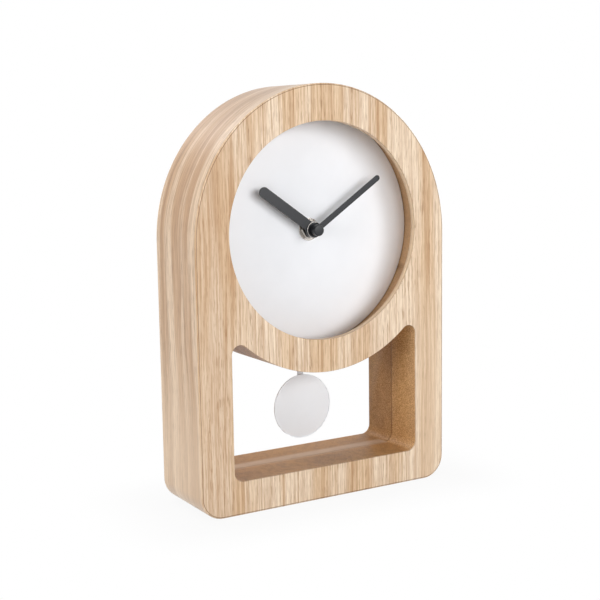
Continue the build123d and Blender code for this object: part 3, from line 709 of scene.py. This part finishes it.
def window_outline(size, inset, notch=None):
    """Pendulum window, cut back by an inset; a notch gives the points that break the middle of its top."""
    half = window_half + inset
    low = size.low_corner + inset
    middle, radius, lean = bridge_corner(size, inset)
    top = window_arc - inset
    points = arc((-half + low, sill_z - inset + low), low, 180, 270, WINDOW_CORNER_STEPS)
    points += arc((half - low, sill_z - inset + low), low, 270, 360, WINDOW_CORNER_STEPS)
    points += arc(middle, radius, 0, 180 + lean, WINDOW_CORNER_STEPS)
    if notch:
        gap = degrees(asin((channel_half + inset) / top))
        points += arc(hands_axis, top, lean, -90 + gap, HALF_BRIDGE_STEPS)[1:]
        points += notch
        points += arc(hands_axis, top, -90 - gap, -180 - lean, HALF_BRIDGE_STEPS)[:-1]
    else:
        points += arc(hands_axis, top, lean, -180 - lean, BRIDGE_STEPS)[1:-1]
    return points + arc((-middle[0], middle[1]), radius, -lean, 180, WINDOW_CORNER_STEPS)


def rear_opening(size, inset):
    """Window, rod channel and movement's hole in one outline, cut back by an inset."""
    radius = rear_hole_radius + inset
    gap = degrees(asin((channel_half + inset) / radius))
    return window_outline(size, inset, arc(hands_axis, radius, -90 + gap, 270 - gap, REAR_HOLE_STEPS))


def outer_edge(size, start, end, count):
    """Insets of the case's outer edge and depths in from a face, between two angles of its rounding."""
    turns = [start + (end - start) * step / count for step in range(count + 1)]
    return [(size.edge_round * (1 - sin(turn)), size.edge_round * (1 - cos(turn))) for turn in turns]


def rounded(front, rear, front_round, rear_round=0.0, count=ROUND_STEPS):
    """Edge of a plate as insets and depths, from its front face to its rear face."""
    turns = [pi / 2 * step / count for step in range(count + 1)]
    steps = [(0, front)]
    if front_round:
        steps = [(front_round * (1 - sin(turn)), front + front_round * (1 - cos(turn))) for turn in turns]
    if rear_round:
        steps += [(rear_round * (1 - cos(turn)), rear - rear_round * (1 - sin(turn))) for turn in turns]
    else:
        steps.append((0, rear))
    return steps


def plate(mesh, *loops):
    """Closed plate: each loop is an outline as a function of an inset, and the steps of its edge."""
    caps = ([], [])
    for outline, steps in loops:
        rows = [[mesh.verts.new((x, depth, z)) for x, z in outline(inset)] for inset, depth in steps]
        for ahead, behind in zip(rows, rows[1:]):
            for index in range(len(ahead)):
                mesh.faces.new((ahead[index - 1], ahead[index], behind[index], behind[index - 1]))
        for cap, row in zip(caps, (rows[0], rows[-1])):
            cap += [mesh.edges.get((row[index - 1], row[index])) for index in range(len(row))]
    for cap in caps:
        bmesh.ops.triangle_fill(mesh, use_beauty=True, edges=cap)


def lathe(mesh, place, profile, closed=False, count=TURNED_STEPS):
    """Turned form about an axis along y: the profile is radii and depths, and a nought radius is a pole."""
    rows = []
    for radius, depth in profile:
        ring = circle(place, radius, count) if radius else [place]
        rows.append([mesh.verts.new((x, depth, z)) for x, z in ring])
    pairs = list(zip(rows, rows[1:])) + ([(rows[-1], rows[0])] if closed else [])
    for ahead, behind in pairs:
        for index in range(count):
            side = [ahead[index - 1], ahead[index]] if len(ahead) > 1 else [ahead[0]]
            side += [behind[index], behind[index - 1]] if len(behind) > 1 else [behind[0]]
            mesh.faces.new(side)


def rim(radius, *edge):
    """Profile of a round rim, as radii and depths; the edge is given as for rounded."""
    return [(radius - inset, depth) for inset, depth in rounded(*edge)]


def bored(mesh, node, radius, front_round, rear_round, steps, count=TURNED_STEPS):
    """Turned ring about the hands' axis, with the bore and the depths of a node."""
    low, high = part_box(node)
    bore = bore_of(node)
    outer = rim(radius, low.y, high.y, front_round, rear_round, steps)
    lathe(mesh, hands_axis, [(bore, low.y), *outer, (bore, high.y)], True, count)
    return mesh


def welded(node):
    """Copy of a node's mesh whose faces share their vertices."""
    mesh = bmesh.new()
    mesh.from_mesh(frame["nodes"][node].data)
    bmesh.ops.remove_doubles(mesh, verts=mesh.verts, dist=WELD)
    return mesh


def softened(node, width):
    """Copy of a node's mesh with its hard edges rounded."""
    mesh = welded(node)
    bmesh.ops.dissolve_limit(mesh, angle_limit=FLAT, verts=mesh.verts, edges=mesh.edges)
    hard = [edge for edge in mesh.edges if edge.is_manifold and edge.calc_face_angle() > HARD]
    bmesh.ops.bevel(mesh, geom=hard, offset=width, segments=2, profile=0.5, affect="EDGES",
                    clamp_overlap=True)
    return mesh


def piece(name, mesh, material, body, slot, *nodes):
    """Finished piece that rides on a body and stands for nodes of the frame."""
    bmesh.ops.recalc_face_normals(mesh, faces=mesh.faces)
    data = bpy.data.meshes.new(name)
    mesh.to_mesh(data)
    mesh.free()
    data.shade_smooth()
    data.set_sharp_from_angle(angle=SMOOTH)
    data.materials.append(material)
    made = bpy.data.objects.new(name, data)
    bpy.context.scene.collection.objects.link(made)
    made.modifiers.new("even shading", "WEIGHTED_NORMAL").keep_sharp = True
    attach(made, body)
    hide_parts(*nodes)
    return made


def coat(material, *nodes):
    """Give nodes of the frame a finish."""
    for node in nodes:
        data = frame["nodes"][node].data
        data.materials.clear()
        data.materials.append(material)


# Operators


class CLOCK_OT_face_veneers(bpy.types.Operator):
    """Make the veneered front and back"""

    bl_idname = "clock.face_veneers"
    bl_label = "Front and back veneer"

    def execute(self, context):
        size = context.scene.clock_case
        material = face_finish(size)
        cut = size.cut_round
        outer = outer_edge(size, 0, acos(1 - veneer / size.edge_round), FACE_EDGE_STEPS)
        outside = partial(case_outline, size)
        front = bmesh.new()
        edge = rounded(front_y, front_y + veneer, cut)
        ahead = [(inset, front_y + depth) for inset, depth in outer]
        plate(front, (outside, ahead), (partial(window_outline, size), edge), (dial_opening, edge))
        piece("veneer_front", front, material, "case", "face_veneer", "front_veneer")
        rear = bmesh.new()
        edge = rounded(rear_y - veneer, rear_y, 0, cut)
        behind = [(inset, rear_y - depth) for inset, depth in reversed(outer)]
        plate(rear, (outside, behind), (partial(rear_opening, size), edge))
        piece("veneer_rear", rear, material, "case", "face_veneer", "rear_veneer")
        coat(material, "base_veneer")
        return {"FINISHED"}


class CLOCK_OT_edge_band(bpy.types.Operator):
    """Make the veneer band that runs up the sides and over the arch"""

    bl_idname = "clock.edge_band"
    bl_label = "Edge band"

    def execute(self, context):
        size = context.scene.clock_case
        outer = outer_edge(size, acos(1 - veneer / size.edge_round), pi / 2, BAND_EDGE_STEPS)
        front = [(inset, front_y + depth) for inset, depth in outer]
        rear = [(inset, rear_y - depth) for inset, depth in reversed(outer)]

        def band(inset):
            outside = case_outline(size, inset)
            inside = case_outline(size, veneer)
            foot = len(outside) - CASE_CORNER_STEPS - 1
            return outside[foot:] + outside[:foot] + inside[:foot][::-1] + inside[foot:][::-1]

        strip = bmesh.new()
        plate(strip, (band, front + rear))
        piece("veneer_edge", strip, edge_finish(size), "case", "edge_veneer", "edge_veneer")
        return {"FINISHED"}


class CLOCK_OT_boards(bpy.types.Operator):
    """Make the two fibreboards of the case"""

    bl_idname = "clock.boards"
    bl_label = "Case boards"

    def eased(self, node, size):
        """Copy of a board whose window has the upper corners of the settings."""
        mesh = welded(node)
        (across, high), radius, lean = bridge_corner(size, 0)
        for vertex in mesh.verts:
            side = 1 if vertex.co.x > 0 else -1
            off = Vector((side * vertex.co.x - across, vertex.co.z - high))
            turn = atan2(off.y, off.x)
            if not (0 < turn < pi + radians(lean) and off.length < 2 * radius):
                continue
            if side * vertex.co.x > window_half - SAME:
                turn = 0
            vertex.co.x = side * (across + radius * cos(turn))
            vertex.co.z = high + radius * sin(turn)
        return mesh

    def execute(self, context):
        size = context.scene.clock_case
        material = board_finish(size)
        for name, node in ("board_front", "case_front_board"), ("board_rear", "case_rear_board"):
            piece(name, self.eased(node, size), material, "case", "fibreboard", node)
        return {"FINISHED"}


class CLOCK_OT_dial(bpy.types.Operator):
    """Make the dial with the washer, nut and bush on its middle"""

    bl_idname = "clock.dial"
    bl_label = "Dial and fixings"

    def execute(self, context):
        look = context.scene.clock_dial
        white = paint_finish("dial_white", look.face, rough=0.60, count=2200, relief=0.12, gloss=0.25)
        edge = look.dial_round
        disc = bored(bmesh.new(), "dial", dial_radius, edge, edge, ROUND_STEPS, DIAL_STEPS)
        piece("dial_disc", disc, white, "case", "dial_white", "dial")
        nickel = turned_finish("bright_nickel", look.nickel, 0.14)
        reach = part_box("fixing_washer")[1].x
        ring = bored(bmesh.new(), "fixing_washer", reach, look.washer_round, look.nut_round, FINE_STEPS)
        piece("washer", ring, nickel, "case", "bright_nickel", "fixing_washer")
        piece("nut", softened("fixing_nut", look.nut_round), nickel, "case", "bright_nickel", "fixing_nut")
        coat(nickel, "threaded_bush")
        rubber = context.scene.clock_movement.rubber
        coat(paint_finish("rubber", rubber, rough=0.7, count=1500, relief=0.3), "rubber_washer")
        return {"FINISHED"}


class CLOCK_OT_hands(bpy.types.Operator):
    """Make the hour hand, the minute hand and the cap"""

    bl_idname = "clock.hands"
    bl_label = "Hands"

    def hand(self, name, node, body, turn, width, blade, collar, material, edge):
        """Hand with a round tip on a turned collar; the blade is its front and rear depth."""
        reach = max(map(from_axis, corners(node)))

        def outline(inset):
            half = width / 2 - inset
            tip = arc((0, reach - width / 2), half, 0, 180, TIP_STEPS)
            upright = [*tip, (-half, 0), (half, 0)]
            aside, up = sin(turn), cos(turn)
            return [(x * up + z * aside, axis_z - x * aside + z * up) for x, z in upright]

        mesh = bmesh.new()
        plate(mesh, (outline, rounded(*blade, edge, edge, FINE_STEPS)))
        bored(mesh, node, collar, edge, edge, FINE_STEPS)
        piece(name, mesh, material, body, "hand_black", node)

    def execute(self, context):
        look = context.scene.clock_dial
        black = hand_finish(look)
        edge = look.hand_round
        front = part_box("hour_hand")[0].y + look.hour_setback
        blade = (front, front + look.hour_thickness)
        self.hand("hand_hour", "hour_hand", "hour", look.hour_turn, look.hour_width, blade,
                  look.hour_collet, black, edge)
        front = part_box("minute_hand")[0].y
        blade = (front, front + look.minute_thickness)
        self.hand("hand_minute", "minute_hand", "minute", look.minute_turn, look.minute_width, blade,
                  look.minute_collar, black, edge)
        low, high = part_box("hand_cap")
        cap = bmesh.new()
        dome = rim(high.x, low.y, high.y, look.cap_round, look.cap_back)
        lathe(cap, hands_axis, [(0, low.y), *dome, (0, high.y)])
        piece("cap", cap, black, "minute", "hand_black", "hand_cap")
        return {"FINISHED"}


class CLOCK_OT_pendulum(bpy.types.Operator):
    """Make the pendulum's bob and rod"""

    bl_idname = "clock.pendulum"
    bl_label = "Pendulum"

    def execute(self, context):
        look = context.scene.clock_pendulum
        white = paint_finish("pendulum_white", look.paint, rough=0.45, count=1800, relief=0.1, gloss=0.25)
        low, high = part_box("pendulum_bob")
        middle = (0.0, (low.z + high.z) / 2)
        reach = high.x
        outermost = [p for p in corners("pendulum_bob") if hypot(p.x, p.z - middle[1]) > reach - NEAR]
        dome = min(p.y for p in outermost) - low.y
        curve = (reach**2 + dome**2) / (2 * dome)
        radii = [(reach - look.rim_round) * step / DOME_STEPS for step in range(DOME_STEPS + 1)]
        front = [(radius, low.y + curve - sqrt(curve**2 - radius**2)) for radius in radii]
        edge = rim(reach, front[-1][1], high.y, look.rim_round, look.back_round)
        bob = bmesh.new()
        lathe(bob, middle, [*front[:-1], *edge, (0, high.y)], False, BOB_STEPS)
        piece("bob", bob, white, "pendulum", "pendulum_white", "pendulum_bob")
        rod = softened("pendulum_rod", look.rod_round)
        piece("rod", rod, white, "pendulum", "pendulum_white", "pendulum_rod")
        return {"FINISHED"}


class CLOCK_OT_movement(bpy.types.Operator):
    """Finish the battery movement: shells, train, motor, board, battery, knob and pendulum hanger"""

    bl_idname = "clock.movement"
    bl_label = "Movement"

    def rear_shell(self, look, black):
        """Rear shell with a raised ring round the setting knob and a raised frame below it."""
        low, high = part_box("movement_rear_shell")
        knob_low, knob_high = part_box("setting_knob")
        shell = softened("movement_rear_shell", look.edge_round)
        base, top = high.y - look.mark_height, high.y + look.mark_height
        inner = (knob_high.x - knob_low.x) / 2 + look.mark_width
        outer = inner + look.mark_width
        ring = [(inner, base), (inner, top), (outer, top), (outer, base)]
        lathe(shell, place_of("setting_turn"), ring, True)
        half, middle = (high.x - low.x) / 3, low.z + (high.z - low.z) / 3

        def frame_line(inset):
            corner = 4 * look.mark_width - inset
            reach, rise = half - inset, half / 2 - inset
            turns = ((1, 1, 0), (-1, 1, 90), (-1, -1, 180), (1, -1, 270))
            places = [((reach - corner) * x, middle + (rise - corner) * z, turn) for x, z, turn in turns]
            rounds = [arc((x, z), corner, turn, turn + 90, MARK_CORNER_STEPS) for x, z, turn in places]
            return [spot for corner_round in rounds for spot in corner_round]

        def frame_hole(inset):
            return frame_line(look.mark_width - inset)

        edge = rounded(base, top, 0, look.mark_height / 2, FINE_STEPS)
        plate(shell, (frame_line, edge), (frame_hole, edge))
        piece("shell_rear", shell, black, "case", "movement_black", "movement_rear_shell")

    def battery(self, look):
        """Turned battery that lies along x, with a nub at its right end and rolled rims."""
        low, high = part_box("battery")
        reach = (high.z - low.z) / 2
        middle_y, middle_z = (low.y + high.y) / 2, (low.z + high.z) / 2
        ends = corners("battery")
        nub = max(hypot(p.y - middle_y, p.z - middle_z) for p in ends if p.x > high.x - NEAR)
        shoulder = max(p.x for p in ends if abs(p.z - middle_z) > reach / 2)
        roll = look.cell_roll
        sunk, inner = shoulder - roll / 2, reach - 3 * roll
        profile = [(0, low.x + roll / 2), (inner, low.x + roll / 2), (reach - 2 * roll, low.x)]
        profile += rim(reach, low.x, shoulder, roll, roll)
        profile += [(reach - 2 * roll, shoulder), (inner, sunk), (nub + roll, sunk)]
        profile += rim(nub, shoulder - roll / 4, high.x, 0, roll / 2)
        cell = bmesh.new()
        lathe(cell, (0.0, 0.0), [*profile, (0, high.x)])
        turn = Matrix(((0, 1, 0, 0), (-1, 0, 0, middle_y), (0, 0, 1, middle_z), (0, 0, 0, 1)))
        bmesh.ops.transform(cell, matrix=turn, verts=cell.verts)
        piece("cell", cell, jacket_finish(look), "case", "battery_jacket", "battery")

    def execute(self, context):
        look = context.scene.clock_movement
        black = paint_finish("movement_black", look.shell, rough=0.42, count=1600, relief=0.35)
        plastic = paint_finish("wheel_plastic", look.wheel, rough=0.35, count=1200, relief=0.1)
        steel = paint_finish("steel", look.steel, rough=0.22, count=3000, relief=0.1, metallic=1.0)
        edge = look.edge_round
        shell = softened("movement_front_shell", edge)
        piece("shell_front", shell, black, "case", "movement_black", "movement_front_shell")
        self.rear_shell(look, black)
        knob = softened("setting_knob", edge / 2)
        piece("knob", knob, plastic, "setting", "wheel_plastic", "setting_knob")
        coat(black, "gear_plate")
        coat(plastic, "hour_wheel", "motion_wheel", "centre_wheel", "third_wheel", "intermediate_wheel",
             "pendulum_hanger")
        coat(steel, "minute_arbor", "stator", "quartz_crystal", "battery_contact_positive",
             "battery_contact_negative", "pendulum_pivot_pin")
        grey = paint_finish("magnet_grey", look.magnet, rough=0.5, count=2000, relief=0.3, metallic=0.4)
        coat(grey, "rotor", "pendulum_magnet")
        coat(winding_finish(look, "x"), "motor_coil")
        coat(winding_finish(look, "y"), "drive_coil")
        coat(circuit_finish(look.board), "circuit_board")
        self.battery(look)
        return {"FINISHED"}


SENSOR_WIDTH = 36  # in millimetres, as the camera's lens is
ROOM_TURN = -0.8, 0.7  # where the room's light goes over from the front to the back
LAMP_SIZES = {"key": 0.75, "top": 1.20, "side": 0.70, "fill": 0.90, "back": 0.90, "rear": 0.90}


class CLOCK_OT_stage(bpy.types.Operator):
    """Set up the floor, the lamps, the room and the camera"""

    bl_idname = "clock.stage"
    bl_label = "Stage"

    def lamp(self, name, place, size, watts):
        """Round lamp that shines on the middle of the case."""
        data = bpy.data.lights.new(name, "AREA")
        data.shape = "DISK"
        data.size = size
        data.energy = watts
        made = bpy.data.objects.new(name, data)
        made.location = place
        aim = Vector((0, 0, top_z / 2)) - Vector(place)
        made.rotation_euler = aim.to_track_quat("-Z", "Y").to_euler()
        bpy.context.scene.collection.objects.link(made)

    def seen(self, finish):
        """One where the ray comes from the camera, a mirror or glass."""
        kinds = "Camera", "Glossy", "Transmission"
        seen, mirrored, through = [finish.node("LightPath", output=f"Is {kind} Ray") for kind in kinds]
        return finish.maths("MINIMUM", seen + mirrored + through, 1.0)

    def floor(self, look):
        """Pale round floor that shows white, with the object's shadow close to it."""
        finish = new_finish("floor")
        x, y = finish.place()[:2]
        cloud = finish.noise(x * 8, y * 8, 1.0, 2)
        paper = finish.mix(cloud, look.floor_dark, look.floor_light)
        pale = finish.node("BsdfDiffuse", None, {"Color": paper})
        white = finish.node("Emission", None, {"Color": (1, 1, 1), "Strength": 1.0})
        beside = finish.maths("MAXIMUM", finish.maths("ABSOLUTE", x) - half_width, 0.0)
        before = finish.maths("MAXIMUM", finish.maths("ABSOLUTE", y) - rear_y, 0.0)
        off = finish.maths("SQRT", beside * beside + before * before)
        near = 1 - finish.fade(off, 0.0, look.shadow_reach)
        shown = self.seen(finish) * (1 - near * look.floor_shadow)
        mesh = bmesh.new()
        bmesh.ops.create_circle(mesh, cap_ends=True, segments=FLOOR_STEPS, radius=look.floor_radius)
        data = bpy.data.meshes.new("floor")
        mesh.to_mesh(data)
        mesh.free()
        data.materials.append(finish.close(finish.node("MixShader", None, {0: shown, 1: pale, 2: white})))
        made = bpy.data.objects.new("floor", data)
        bpy.context.scene.collection.objects.link(made)

    def room(self, look):
        """Soft light from all around, more of it from behind; white where it is seen."""
        finish = Finish(bpy.data.worlds.new("room"))
        way = finish.node("TexCoord", output="Generated")
        back = finish.fade(finish.node("SeparateXYZ", None, {0: way}, "Y"), *ROOM_TURN)
        level = look.room_front + back * (look.room_back - look.room_front)
        soft = finish.node("Background", None, {"Color": (1, 1, 1), "Strength": level})
        white = finish.node("Background", None, {"Color": (1, 1, 1), "Strength": 1.0})
        blend = finish.node("MixShader", None, {0: self.seen(finish), 1: soft, 2: white})
        bpy.context.scene.world = finish.close(blend, "World")

    def camera(self, look):
        """Camera at the place, aim, tilt and lens of the settings."""
        data = bpy.data.cameras.new("camera")
        data.sensor_width = SENSOR_WIDTH
        data.lens = look.camera_lens
        made = bpy.data.objects.new("camera", data)
        aim = Vector(look.camera_aim) - Vector(look.camera_place)
        turn = aim.to_track_quat("-Z", "Y") @ Quaternion((0, 0, 1), look.camera_roll)
        made.matrix_world = Matrix.LocRotScale(Vector(look.camera_place), turn, None)
        bpy.context.scene.collection.objects.link(made)
        bpy.context.scene.camera = made

    def execute(self, context):
        look = context.scene.clock_stage
        self.floor(look)
        self.room(look)
        self.camera(look)
        for name, size in LAMP_SIZES.items():
            place, watts = getattr(look, name + "_place"), getattr(look, name + "_power")
            self.lamp(name + "_lamp", place, size, watts)
        context.scene.view_settings.view_transform = "Standard"
        return {"FINISHED"}


class CLOCK_PT_build(bpy.types.Panel):
    """Lists the steps and the settings of the clock"""

    bl_idname = "CLOCK_PT_build"
    bl_label = "Desk pendulum clock"
    bl_space_type = "VIEW_3D"
    bl_region_type = "UI"
    bl_category = "Clock"

    def draw(self, context):
        for operator in OPERATORS:
            self.layout.operator(operator.bl_idname)
        for name, group in SETTINGS.items():
            box = self.layout.box()
            for setting in group.__annotations__:
                box.prop(getattr(context.scene, name), setting)


OPERATORS = (CLOCK_OT_face_veneers, CLOCK_OT_edge_band, CLOCK_OT_boards, CLOCK_OT_dial, CLOCK_OT_hands,
             CLOCK_OT_pendulum, CLOCK_OT_movement, CLOCK_OT_stage)
SETTINGS = {
    "clock_case": CaseSettings,
    "clock_dial": DialSettings,
    "clock_pendulum": PendulumSettings,
    "clock_movement": MovementSettings,
    "clock_stage": StageSettings,
}


def register():
    """Register the settings, the operators and the panel."""
    for kind in (*SETTINGS.values(), *OPERATORS, CLOCK_PT_build):
        bpy.utils.register_class(kind)
    for name, group in SETTINGS.items():
        setattr(bpy.types.Scene, name, PointerProperty(type=group))


def unregister():
    """Undo what register does."""
    for name in SETTINGS:
        delattr(bpy.types.Scene, name)
    for kind in (CLOCK_PT_build, *reversed(OPERATORS), *SETTINGS.values()):
        bpy.utils.unregister_class(kind)


def main():
    """Build the clock and its stage."""
    register()
    for operator in OPERATORS:
        family, step = operator.bl_idname.split(".")
        getattr(getattr(bpy.ops, family), step)()


if __name__ == "__main__":
    main()
